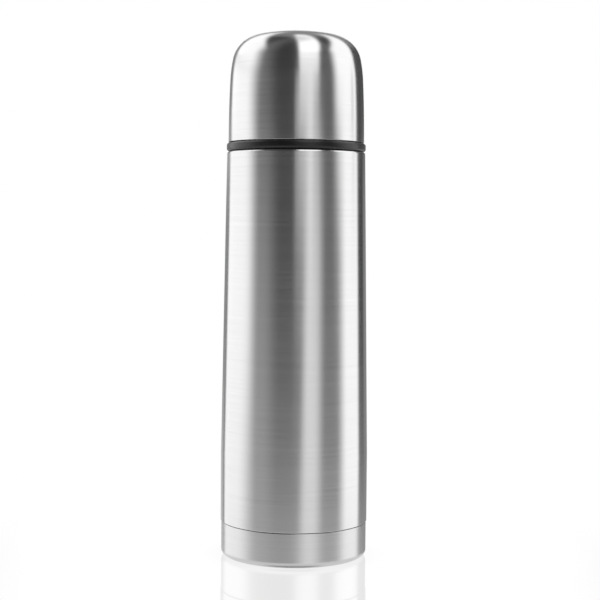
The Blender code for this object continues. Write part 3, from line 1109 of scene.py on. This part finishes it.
        def form(angle: float, radius: float, height: float) -> float:
            """Move both faces of the foil together."""
            spot = Vector((math.cos(angle) * 4.0, math.sin(angle) * 4.0, height * 0.16))
            return radius + self.crinkle * noise.noise(spot) + 0.08 * noise.noise(spot * 3.1)

        return FOIL.dress(turned("foil_sleeve", outer + inner, form=form), "flask", "radiation_foil")


# The cup


@dataclass
class Cup:
    """The steel dome that is also a drinking cup, its liner and the black ring under its edge."""

    arcs: tuple[tuple[float, float, int], ...] = (
        (95.0, 11.7, 8),
        (14.2, 78.8, 26),
        (68.0, 87.3, 5),
        (612.0, 89.9, 8),
    )
    wall: float = 0.5
    gap: float = 0.3
    liner: float = 1.2
    hem: float = 1.2
    ring_inner: float = 30.4
    ring_round: float = 1.3

    def dome(self, inset: float, crown: float, edge: float) -> list[Point]:
        """The dome's outline at a distance inside its outer face.

        Args:
            inset: The distance.
            crown: The height of the crown's outer face.
            edge: The height of the open edge.

        Returns:
            Points from the crown outwards and down.
        """
        radius, height, start = 0.0, crown - inset, 0.0
        points = [(radius, height)]
        for bend, end, count in self.arcs:
            for step in range(count):
                before = math.radians(start + (end - start) * step / count)
                after = math.radians(start + (end - start) * (step + 1) / count)
                radius += (bend - inset) * (math.sin(after) - math.sin(before))
                height += (bend - inset) * (math.cos(after) - math.cos(before))
                points.append((radius, height))
            start = end
        kept = [point for point in points if point[1] > edge + self.hem]
        return kept + [(points[-1][0], edge + self.hem)]

    def build(self) -> None:
        """Make and dress the three pieces."""
        shell = Span.of("cup_shell")
        edge = shell.bottom
        outer, inner = self.dome(0, shell.top, edge), self.dome(self.wall, shell.top, edge)
        rim = rounded([outer[-1], (outer[-1][0], edge, 0.2), (inner[-1][0], edge, 0.2), inner[-1]], False)
        outline = outer[:-1] + rim + inner[-2::-1]
        STEEL.dress(turned("cup_dome", outline), "cup", "cup_shell")
        self.make_liner(shell.top, Span.of("cup_liner").bottom)
        self.make_ring()

    def make_liner(self, crown: float, edge: float) -> bpy.types.Object:
        """The moulded liner with the thread that holds the cup on."""
        out = self.wall + self.gap
        outer, inner = self.dome(out, crown, edge), self.dome(out + self.liner, crown, edge)
        inside = inner[-1][0]
        fine = rows((inside, edge + 0.6), (inside, edge + 8.0), THREAD_ROW)
        above = [point for point in inner if point[1] > edge + 8.4]
        rim = rounded([outer[-1], (outer[-1][0], edge, 0.3), (inside, edge, 0.4), fine[0]], False)
        outline = outer[:-1] + rim + fine[1:] + above[::-1]

        def form(angle: float, radius: float, height: float) -> float:
            """Raise the thread on the inner face."""
            return radius - (LINER_THREAD.rise(angle, height) if radius < inside + 0.3 else 0.0)

        return SATIN_BLACK.dress(turned("cup_lining", outline, form=form), "cup", "cup_liner")

    def make_ring(self) -> bpy.types.Object:
        """The glossy ring that the cup's edge sits on."""
        span = Span.of("cup_rim_ring")
        corners = [
            (self.ring_inner, span.top, 0.2),
            (span.radius, span.top, self.ring_round),
            (span.radius, span.bottom, self.ring_round),
            (self.ring_inner, span.bottom, 0.2),
        ]
        return POLISHED_BLACK.dress(turned("black_ring", rounded(corners, True)), "cup_ring", "cup_rim_ring")


# The stopper


@dataclass
class Stopper:
    """The screwed plug and its head, the trim ring and the two seals."""

    bore: float = 14.2
    bore_floor: float = 206.4
    plug: float = 19.9
    head_height: float = 9.9
    chamber: Point = (17.9, 203.0)
    stem_bore: float = 2.4
    counterbore: Point = (4.6, 204.6)
    ribs: int = 36
    rib_depth: float = 0.55
    gasket_inner: float = 20.8
    slot_inner: float = 15.2
    slot_outer: float = 17.6
    pocket: Point = (15.8, 22.2)
    pocket_half: float = 5.4
    pocket_floor: float = 209.2
    pin: Point = (19.2, 212.5)
    pin_hole: float = 1.1

    def build(self) -> None:
        """Make and dress every piece of the stopper except the valve."""
        self.body()
        self.trim()
        self.seals()

    def body(self) -> bpy.types.Object:
        """The plug and the ribbed head, cut for the button, the pour channels and the wings."""
        span = Span.of("stopper_body")
        head, top, low = span.radius, span.top, span.bottom
        under = top - self.head_height
        plug, bore, floor, stem = self.plug, self.bore, self.bore_floor, self.stem_bore
        chamber, roof = self.chamber
        recess, ledge = self.counterbore
        corners = [
            (bore, top, 0.5),
            (head, top, 1.6),
            *rows((head, top - 1.9), (head, under + 1.0), 0.6),
            (head, under, 0.6),
            (plug, under, 0.3),
            *rows((plug, 197.5), (plug, 188.5), THREAD_ROW),
            (plug, low, 1.0),
            (9.0, low, 0.4),
            (9.0, low + 2, 0.3),
            (chamber, low + 2, 0.8),
            (chamber, roof, 0.8),
            (stem, roof, 0.1),
            (stem, ledge, 0.1),
            (recess, ledge, 0.1),
            (recess, floor, 0.2),
            (bore, floor, 0.6),
        ]

        def form(angle: float, radius: float, height: float) -> float:
            """Cut the grip ribs into the head and raise the plug's thread."""
            if radius > head - 0.05 and under + 0.9 < height < top - 1.8:
                ends = min(1.0, (height - under - 0.9) / 0.8, (top - 1.8 - height) / 0.8)
                groove = 0.5 - 0.5 * math.cos(self.ribs * angle)
                return radius - self.rib_depth * ends * groove**1.5
            if plug - 0.01 < radius < plug + 0.01:
                return radius + PLUG_THREAD.rise(angle, height)
            return radius

        piece = turned("stopper_housing", rounded(corners, True), Turn.RIBBED, form)
        tools = []
        for side in Side:
            near, far = apart(side.value, self.slot_inner, head + 2)
            slot = block((-3.0, near, 207.6), (3.0, far, 210.8), 0.5)
            near, far = apart(side.value, self.slot_inner, self.slot_outer)
            riser = block((-2.9, near, 202.0), (2.9, far, 209.5), 0.3)
            pocket = self.wing_gap(side, self.pocket_floor, top + 2)
            hole = self.rod((side.value * self.pin[0], 0.0, self.pin[1]), self.pin_hole, 14.2)
            tools += [(shape, "DIFFERENCE") for shape in (slot, riser, pocket, hole)]
        shaped(piece, tools)
        return SATIN_BLACK.dress(piece, "stopper", "stopper_body")

    def wing_gap(self, side: Side, low: float, high: float) -> bmesh.types.BMesh:
        """The room for a wing between two heights."""
        near, far = apart(side.value, *self.pocket)
        return block((near, -self.pocket_half, low), (far, self.pocket_half, high), 0.5)

    @staticmethod
    def rod(centre: Sequence[float], radius: float, length: float) -> bmesh.types.BMesh:
        """A round tool along Y.

        Args:
            centre: Its middle.
            radius: Its radius.
            length: Its length.

        Returns:
            The mesh, in millimetres.
        """
        shape = bmesh.new()
        matrix = Matrix.Translation(centre) @ Matrix.Rotation(math.pi / 2, 4, "X")
        bmesh.ops.create_cone(
            shape, cap_ends=True, segments=40, radius1=radius, radius2=radius, depth=length, matrix=matrix
        )
        return shape

    def trim(self) -> bpy.types.Object:
        """The trim ring, with a raised inner lip and a slot for each wing."""
        span = Span.of("stopper_top_ring")
        outer, top, low = span.radius, span.top, span.bottom
        corners = [
            (self.bore, top, 0.3),
            (self.bore + 1.2, top, 0.3),
            (self.bore + 1.6, top - 0.35, 0.2),
            (outer - 1.6, top - 0.35, 0.2),
            (outer - 1.3, top - 0.1, 0.2),
            (outer, top - 0.8, 0.6),
            (outer, low, 0.15),
            (self.bore, low, 0.15),
        ]
        piece = turned("head_trim", rounded(corners, True))
        shaped(piece, [(self.wing_gap(side, low - 2, top + 2), "DIFFERENCE") for side in Side])
        return GREY.dress(piece, "stopper", "stopper_top_ring")

    def seals(self) -> None:
        """The head's gasket with two sealing lips, and the O-ring round the stem."""
        span = Span.of("stopper_gasket")
        low, top, outer, inner = span.bottom, span.top, span.radius, self.gasket_inner
        middle = (inner + outer) / 2
        corners = [
            (inner, top, 0.3),
            (outer, top, 0.3),
            (outer, low + 0.1, 0.25),
            (outer - 0.7, low, 0.2),
            (middle + 0.4, low + 0.3, 0.2),
            (middle, low, 0.15),
            (middle - 0.4, low + 0.3, 0.2),
            (inner, low, 0.2),
        ]
        RUBBER.dress(turned("head_gasket", rounded(corners, True)), "stopper_seal", "stopper_gasket")
        ring = Span.of("stem_o_ring")
        section = (ring.top - ring.bottom) / 2
        centre = (ring.radius - section, (ring.top + ring.bottom) / 2)
        outline = arc(centre, section, 0, 360, 20)[:-1]
        RUBBER.dress(turned("stem_seal", outline, Turn.SMALL), "stopper", "stem_o_ring")


@dataclass
class Valve:
    """The centre button with its stem, valve plate, seal and return spring."""

    dish: float = 0.9
    dish_radius: float = 9.6
    dish_shares: tuple[float, ...] = (0, 0.2, 0.4, 0.55, 0.7, 0.8, 0.88, 0.95)
    skirt_wall: float = 1.4
    boss: Point = (4.0, 214.0)
    socket: float = 2.3
    hub_wall: float = 1.5
    wire: float = 0.45
    coils: float = 4.5
    closed_coils: float = 1.0

    def build(self) -> None:
        """Make and dress the valve's pieces."""
        self.button()
        self.stem()
        self.plate()
        self.spring()

    def button(self) -> bpy.types.Object:
        """The button, dished for a finger, with a socket for the stem underneath."""
        span = Span.of("centre_button")
        radius, top, low = span.radius, span.top, span.bottom
        under = top - 3.4
        brim = top - 0.1
        boss, mouth = self.boss
        corners = [
            *[(self.dish_radius * s, brim - self.dish * (1 - s * s) ** 1.6) for s in self.dish_shares],
            (9.8, brim, 0.3),
            (10.6, top, 0.5),
            (radius, top - 0.4, 1.4),
            (radius, low, 0.3),
            (radius - self.skirt_wall, low, 0.3),
            (radius - self.skirt_wall, under, 0.6),
            (boss, under, 0.6),
            (boss, mouth, 0.3),
            (self.socket, mouth, 0.2),
            (self.socket, under - 0.6, 0.1),
            (0.0, under - 0.6),
        ]
        piece = turned("push_button", rounded(corners, False))
        return GREY.dress(piece, "button", "centre_button")

    @staticmethod
    def stem() -> bpy.types.Object:
        """The valve's rod, with a chamfer at each end and a groove for the plate."""
        span = Span.of("valve_stem")
        radius, top, low = span.radius, span.top, span.bottom
        corners = [
            (0.0, low),
            (radius, low, 0.4),
            (radius, low + 4.0, 0.1),
            (radius - 0.25, low + 4.2, 0.1),
            (radius - 0.25, low + 5.0, 0.1),
            (radius, low + 5.2, 0.1),
            (radius, top, 0.4),
            (0.0, top),
        ]
        return PLAIN.dress(turned("stem_rod", rounded(corners, False), Turn.SMALL), "button", "valve_stem")

    def plate(self) -> None:
        """The valve's disc with its hub, and the seal on it."""
        span = Span.of("valve_plate")
        radius, top, low, socket = span.radius, span.top, span.bottom, self.socket
        face = low + 1.8
        hub = socket + self.hub_wall
        corners = [
            (socket, top, 0.2),
            (hub, top, 0.4),
            (hub, face, 0.1),
            (radius, face, 0.25),
            (radius, low, 0.4),
            (8.6, low, 0.2),
            (8.0, low + 0.5, 0.3),
            (5.2, low + 0.5, 0.3),
            (4.6, low, 0.2),
            (socket, low, 0.2),
        ]
        SATIN_BLACK.dress(turned("valve_disc", rounded(corners, True)), "button", "valve_plate")
        seal = Span.of("valve_seal")
        radius, top, low, inner = seal.radius, seal.top, seal.bottom, hub + 0.3
        corners = [
            (inner, top - 0.3, 0.15),
            (8.2, top - 0.3, 0.2),
            (9.2, top, 0.25),
            (10.0, top, 0.25),
            (radius, top - 0.6, 0.3),
            (radius, low, 0.15),
            (inner, low, 0.15),
        ]
        RUBBER.dress(turned("valve_ring", rounded(corners, True)), "button", "valve_seal")

    def spring(self) -> bpy.types.Object:
        """The return spring, with a closed coil at each end."""
        span = Span.of("button_spring")
        low, top = span.bottom + self.wire, span.top - self.wire
        mean = span.radius - self.wire
        per_turn = 40
        ends = self.closed_coils
        total = self.coils + ends
        step = 2.1 * self.wire
        run = (ends + 1) / 2
        path = []
        for index in range(round(total * per_turn) + 1):
            turns = index / per_turn
            first = min(turns, run) / run
            last = min(total - turns, run) / run
            middle = min(1.0, max(0.0, (turns - ends) / (total - 2 * ends)))
            height = low + step * first + (top - low - 2 * step) * middle + step * (1 - last)
            angle = 2 * math.pi * turns
            path.append(Vector((mean * math.cos(angle), mean * math.sin(angle), height)))
        piece = PLAIN.dress(swept("return_spring", path, self.wire), "button", "button_spring")
        travel = next(j for j in frame["joints"] if j["name"] == "button_press")["range_m"][1] / MM
        length = span.top - span.bottom
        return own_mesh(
            piece,
            "button_press",
            axis=(0, 0, 1),
            anchor=(0, 0, span.top * MM),
            keep=(length - travel) / length,
        )


@dataclass
class Wing:
    """One release lever with its thumb pad, its nose over the button, and its pin."""

    side: Side
    ridges: int = 4
    first_ridge: float = 17.7
    ridge_step: float = 1.15

    def build(self) -> None:
        """Make and dress the lever and its pin."""
        name = self.side.name.lower()
        span = Span.of("release_wing_" + name)
        sign = self.side.value
        pin = Span.of("wing_pin_" + name)
        half = span.high.y

        def bar(near: float, far: float, reach: float, heights: Point, edge: float) -> bmesh.types.BMesh:
            """A rounded bar across the lever, from near to far off the axis, between two heights."""
            ends = apart(sign, near, far)
            return block((ends[0], -reach, heights[0]), (ends[1], reach, heights[1]), edge)

        inner, outer = sorted((abs(span.low.x), abs(span.high.x)))
        top = span.top
        lever = piece_of("wing_" + name, bar(16.4, 20.4, half, (span.bottom, top - 1.0), 0.7))
        tools = [
            (bar(16.2, outer, half - 0.1, (top - 1.5, top), 0.5), "UNION"),
            (bar(inner, 17.0, 2.6, (top - 1.3, top - 0.1), 0.35), "UNION"),
            (Stopper.rod((pin.middle.x, 0.0, pin.middle.z), Stopper.pin_hole, 14.0), "DIFFERENCE"),
        ]
        for ridge in range(self.ridges):
            place = self.first_ridge + self.ridge_step * ridge
            groove = bar(place, place + 0.5, half - 1.2, (top - 0.35, top + 0.6), 0.12)
            tools.append((groove, "DIFFERENCE"))
        shaped(lever, tools)
        GREY.dress(lever, "wing_" + name, "release_wing_" + name)
        self.pin(pin, name)

    @staticmethod
    def pin(span: Span, name: str) -> bpy.types.Object:
        """The pivot pin, with rounded ends and a straight knurl near each.

        Args:
            span: The CAD pin's box.
            name: The side's name.

        Returns:
            The pin.
        """
        radius, length = span.radius, span.high.y - span.low.y
        half = length / 2
        corners = [
            (0.0, -half),
            (radius, -half, 0.3),
            *rows((radius, -half + 0.6), (radius, half - 0.6), 0.5),
            (radius, half, 0.3),
            (0.0, half),
        ]

        def knurl(angle: float, reach: float, height: float) -> float:
            """Straight knurls near both ends."""
            ends = 1.0 if half - 2.4 < abs(height) < half - 0.7 else 0.0
            return reach - 0.04 * ends * (0.5 + 0.5 * math.cos(16 * angle))

        piece = turned("pin_" + name, rounded(corners, False), Turn.SMALL, knurl)
        place = Matrix.Translation(span.middle * MM) @ Matrix.Rotation(math.pi / 2, 4, "X")
        piece.data.transform(place)
        return PLAIN.dress(piece, "stopper", "wing_pin_" + name)


# The studio


@dataclass(frozen=True)
class Edge:
    """A panel's straight edge, given by the pole of the plane that holds it and the bottle.

    The panel lies on the pole's side. The pole's azimuth is in degrees from the front, with the right side
    positive, and its elevation is above the floor.
    """

    azimuth: float
    elevation: float = 0.0
    soft: float = 3.0

    def mask(self, direction: Value) -> Value:
        """How far a direction is on the panel's side, from 0 to 1."""
        turn, lift = math.radians(self.azimuth), math.radians(self.elevation)
        pole = (math.sin(turn) * math.cos(lift), -math.cos(turn) * math.cos(lift), math.sin(lift))
        inputs = {0: direction, 1: pole}
        near = direction.graph.node("VectorMath", {"operation": "DOT_PRODUCT"}, inputs, "Value")
        reach = math.sin(math.radians(self.soft))
        return near.over(-reach, reach)


@dataclass(frozen=True)
class Panel:
    """A soft panel of light, or a dark flag, round the bottle.

    Below and above are the elevations, in degrees, that it fades out at, each with its softness.
    """

    name: str
    light: float
    edges: tuple[Edge, ...] = ()
    below: Optional[Point] = None
    above: Optional[Point] = None

    def mask(self, direction: Value, elevation: Value) -> Value:
        """How much of the panel is seen in a direction.

        Args:
            direction: The direction from the bottle.
            elevation: Its elevation, in degrees.

        Returns:
            The mask, from 0 to 1.
        """
        parts = [edge.mask(direction) for edge in self.edges]
        if self.below:
            height, soft = self.below
            parts.append(elevation.over(height - soft, height + soft))
        if self.above:
            height, soft = self.above
            parts.append(1 - elevation.over(height - soft, height + soft))
        mask = parts[0]
        for part in parts[1:]:
            mask = mask * part
        return mask


def upright(left: float, right: float, left_soft: float, right_soft: float) -> tuple[Edge, Edge]:
    """The two upright edges of a panel between two azimuths."""
    return Edge(left + 90, 0, left_soft), Edge(right - 90, 0, right_soft)


def top_edge(azimuth: float, height: float, soft: float = 4.0) -> Edge:
    """A level top edge whose middle stands at an azimuth and a height."""
    return Edge(azimuth, height - 90, soft)


PANELS = (
    Panel("low_fill", 0.075, above=(4, 2)),
    Panel("gap_fill_low", 0.2, upright(38, 84, 10, 8), above=(3, 2)),
    Panel("gap_fill", 0.14, upright(44, 84, 8, 8), below=(3, 2)),
    Panel("floor_near", 0.52, above=(-11, 10)),
    Panel("back_shade", 0.3, upright(145, -145, 6, 6)),
    Panel("left_spill_low", 0.42, upright(-76, -38, 10, 16), above=(3, 3)),
    Panel("left_spill", 0.2, upright(-80, -46, 10, 16), below=(3, 3)),
    Panel("left_box_base", 1.4, (Edge(-50, 0, 3), Edge(-169, 0, 22)), above=(-3, 4)),
    Panel("left_box_low", 1.52, (Edge(-50, 0, 3), Edge(-163, 0, 12)), below=(-6, 4), above=(3, 1.5)),
    Panel("left_box_foot", 1.57, (Edge(-94, -24, 4), Edge(-170, 0, 16)), below=(3, 1.5), above=(14, 5)),
    Panel("left_box", 1.57, (Edge(-41, 37, 5), Edge(-165, 0, 15), top_edge(-121, 57.5)), below=(14, 5)),
    Panel("left_flag", 0.27, upright(-180, -144, 6, 5), below=(3, 2), above=(17, 5)),
    Panel("left_back_low", 0.65, upright(-178, -150, 4, 5), above=(-7, 3)),
    Panel("right_box_low", 1.5, upright(80.5, 122, 11, 4), above=(4.2, 1.2)),
    Panel("right_box", 1.57, (Edge(159.5, 0, 9), Edge(13, 41, 5), top_edge(127, 55)), below=(4.2, 1.2)),
    Panel("right_box_foot", 1.57, upright(112, 128, 4, 4), below=(4.2, 1.2), above=(26, 6)),
    Panel("right_flag", 0.09, upright(122, 180, 3, 8), below=(3, 2), above=(23, 6)),
    Panel("strip_low", 1.05, (Edge(107, -33, 5), Edge(-47.5, 16, 9)), above=(4.2, 1.2)),
    Panel("strip", 1.17, (Edge(88, 0, 3), Edge(-64, 18.3, 4)), below=(4.2, 1.2), above=(10, 2)),
    Panel("strip_middle", 1.35, (Edge(95, 0, 2), Edge(-56, 18.3, 4)), below=(10, 2), above=(24, 8)),
    Panel("strip_high", 1.75, (Edge(94, 0, 2), Edge(-58, 18.3, 3), Edge(0, 24, 8)), below=(24, 8)),
    Panel("strip_top", 1.1, (Edge(94, 0, 3), Edge(-57, 18.3, 3), Edge(0, 24, 8)), below=(76, 6)),
    Panel("floor", 0.92, above=(-16, 6)),
    Panel("under", 0.25, above=(-68, 6)),
    Panel("back_wall", 1.0, upright(168, -168, 1.5, 1.5), above=(24, 6), below=(2, 2)),
)


@dataclass
class Studio:
    """The light round the bottle, the pale floor and the camera."""

    gloom: float = 0.055
    floor_radius: float = 0.42
    floor_drop: float = 0.0001
    floor_mirror: float = 0.22
    mirror_fade: Point = (80.0, 190.0)
    # painted shadow round the foot: how much it dims the floor, and the radii in millimetres that it fades
    # over
    painted_shadow_depth: float = 0.05
    painted_shadow_fade: Point = (30.0, 46.0)
    lens: float = 88.02
    sensor: float = 36.0
    camera_place: tuple[float, float, float] = (0.00232, -0.700, 0.1574)
    camera_tilt: float = 2.898
    camera_roll: float = 0.444

    def build(self) -> None:
        """Set up everything that isn't part of the bottle."""
        bpy.context.scene.view_settings.view_transform = "Standard"
        self.light()
        self.floor()
        self.camera()

    def light(self) -> None:
        """Light the bottle from soft panels, with a plain white background behind it."""
        world = bpy.data.worlds.new("studio")
        bpy.context.scene.world = world
        world.use_nodes = True
        world.node_tree.nodes.clear()
        graph = Graph(world.node_tree)
        direction = graph.node("TexCoord", output="Generated")
        _, _, height = graph.split(direction)
        elevation = graph.node("Math", {"operation": "ARCSINE"}, {0: height}) * (180 / math.pi)
        level: Input = self.gloom
        for panel in PANELS:
            mask = panel.mask(direction, elevation)
            level = mask * panel.light + (1 - mask) * level
            log.info("panel %s", panel.name)
        seen = graph.node("LightPath", output="Is Camera Ray")
        lit = graph.node("Background", inputs={"Color": WHITE, "Strength": level})
        plain = graph.node("Background", inputs={"Color": WHITE, "Strength": 1.0})
        shown = graph.node("MixShader", inputs={0: seen, 1: lit, 2: plain})
        graph.node("OutputWorld", inputs={"Surface": shown})

    def floor(self) -> None:
        """A pale, slightly glossy floor that fades into the background, with a painted shadow round the foot.
        """
        shape = bmesh.new()
        bmesh.ops.create_circle(shape, cap_ends=True, segments=96, radius=self.floor_radius)
        mesh = bpy.data.meshes.new("floor")
        shape.to_mesh(mesh)
        shape.free()
        floor = bpy.data.objects.new("floor", mesh)
        floor.location.z = -self.floor_drop
        bpy.context.scene.collection.objects.link(floor)
        material = bpy.data.materials.new("pale_floor")
        material.use_nodes = True
        material.node_tree.nodes.clear()
        graph = Graph(material.node_tree)
        x, y, _ = graph.split(graph.spot())
        radius = graph.across(x, y)
        fade = 1 - radius.over(*self.mirror_fade)
        # painted shadow: the floor's glow is dimmed round the bottle's foot
        shadow = (1 - radius.over(*self.painted_shadow_fade)) * self.painted_shadow_depth
        glow = graph.node("Emission", inputs={"Color": WHITE, "Strength": 1 - shadow})
        mirror = graph.node("BsdfGlossy", inputs={"Color": WHITE, "Roughness": 0.05})
        surface = graph.node("MixShader", inputs={0: fade * self.floor_mirror, 1: glow, 2: mirror})
        clear = graph.node("BsdfTransparent")
        under = graph.node("NewGeometry", output="Backfacing")
        shown = graph.node("MixShader", inputs={0: under, 1: surface, 2: clear})
        graph.node("OutputMaterial", inputs={"Surface": shown})
        mesh.materials.append(material)
        floor.visible_glossy = False
        floor.visible_diffuse = False
        floor.visible_shadow = False

    def camera(self) -> None:
        """The camera, a little above the bottle's middle, looking slightly down."""
        data = bpy.data.cameras.new("camera")
        data.lens = self.lens
        data.sensor_width = self.sensor
        data.clip_start = 0.01
        camera = bpy.data.objects.new("camera", data)
        tilt = Matrix.Rotation(math.radians(90 - self.camera_tilt), 4, "X")
        roll = Matrix.Rotation(math.radians(self.camera_roll), 4, "Z")
        camera.matrix_world = Matrix.Translation(self.camera_place) @ tilt @ roll
        bpy.context.scene.collection.objects.link(camera)
        bpy.context.scene.camera = camera


def main() -> None:
    """Build the bottle from the flask upwards, then its studio."""
    logging.basicConfig(level=logging.INFO, format="%(name)s: %(message)s")
    Flask().build()
    Stopper().build()
    Valve().build()
    for side in Side:
        Wing(side).build()
    Cup().build()
    Studio().build()


if __name__ == "__main__":
    main()
